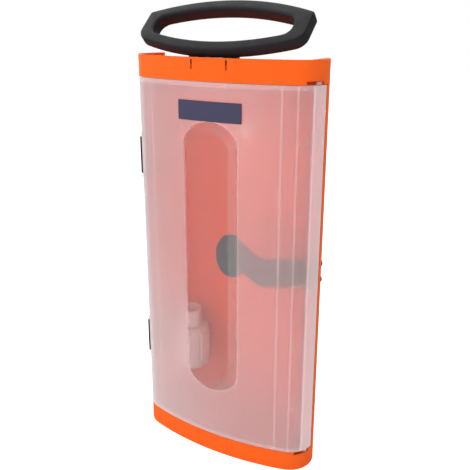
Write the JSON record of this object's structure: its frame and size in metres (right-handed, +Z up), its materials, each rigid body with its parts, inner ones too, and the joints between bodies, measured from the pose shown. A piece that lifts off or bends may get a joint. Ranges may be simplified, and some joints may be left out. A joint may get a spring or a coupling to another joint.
{
  "type": "wall and carry storage case",
  "caption": "Tall orange storage case with a bowed lens-shaped plan, a frosted hinged front door with side latches, a folding ring handle, and a powder bottle and strap inside.",
  "frame": {"origin": "centre of the flat base face, on the case's lens-shaped plan", "axes": "+Z up, -Y out of the front door, +X towards the door's hinge"},
  "size_m": [0.222, 0.0804, 0.5035],
  "materials": {
    "orange_abs": "satin",
    "frosted_polypropylene": "frosted",
    "navy_vinyl": "satin",
    "black_nylon": "fine grain",
    "black_rubber": "matte",
    "plated_steel": "plated",
    "rivet_aluminium": "satin",
    "white_polyethylene": "satin",
    "white_polypropylene": "satin"
  },
  "bodies": {
    "case": {"back_shell": "orange_abs", "top_cap": "orange_abs", "bottom_cap": "orange_abs", "top_cap_screw_left": "plated_steel", "top_cap_screw_right": "plated_steel", "bottom_cap_screw_left": "plated_steel", "bottom_cap_screw_right": "plated_steel", "door_pivot_pin_upper": "plated_steel", "door_pivot_pin_lower": "plated_steel", "handle_bracket": "black_nylon", "bracket_screw_left": "plated_steel", "bracket_screw_right": "plated_steel", "handle_washer_left": "plated_steel", "handle_washer_right": "plated_steel", "bottle_clip": "orange_abs", "clip_rivet_lower": "rivet_aluminium", "clip_rivet_upper": "rivet_aluminium", "retaining_strap": "black_rubber", "strap_anchor_plate": "rivet_aluminium", "strap_rivet_lower": "rivet_aluminium", "strap_rivet_upper": "rivet_aluminium"},
    "door": {"door": "frosted_polypropylene", "door_label": "navy_vinyl", "latch_pin_lower": "plated_steel", "latch_pin_upper": "plated_steel"},
    "latch_lower": {"latch_lower": "black_nylon"},
    "latch_upper": {"latch_upper": "black_nylon"},
    "handle": {"handle": "black_nylon", "handle_pin_left": "plated_steel", "handle_pin_right": "plated_steel"},
    "bottle": {"bottle_body": "white_polyethylene", "bottle_sifter": "white_polypropylene"},
    "bottle_cap": {"bottle_cap": "white_polypropylene"}
  },
  "joints": [
    {"name": "door_hinge", "type": "hinge", "parent": "case", "child": "door", "pos_m": [0.1047, -0.0095, 0.225], "axis": [0, 0, 1], "range_deg": [0, 110]},
    {"name": "latch_lower_hinge", "type": "hinge", "parent": "door", "child": "latch_lower", "pos_m": [-0.10646, -0.01147, 0.1115], "axis": [0, 0, 1], "range_deg": [0, 75]},
    {"name": "latch_upper_hinge", "type": "hinge", "parent": "door", "child": "latch_upper", "pos_m": [-0.10646, -0.01147, 0.3385], "axis": [0, 0, 1], "range_deg": [0, 75]},
    {"name": "handle_hinge", "type": "hinge", "parent": "case", "child": "handle", "pos_m": [0, -0.0285, 0.449], "axis": [-1, 0, 0], "range_deg": [0, 43]},
    {"name": "bottle_lift", "type": "slide", "parent": "case", "child": "bottle", "axis": [0, 0, 1], "range_m": [0, 0.05]},
    {"name": "bottle_cap_lift", "type": "slide", "parent": "bottle", "child": "bottle_cap", "axis": [0, 0, 1], "range_m": [0, 0.03]}
  ]
}
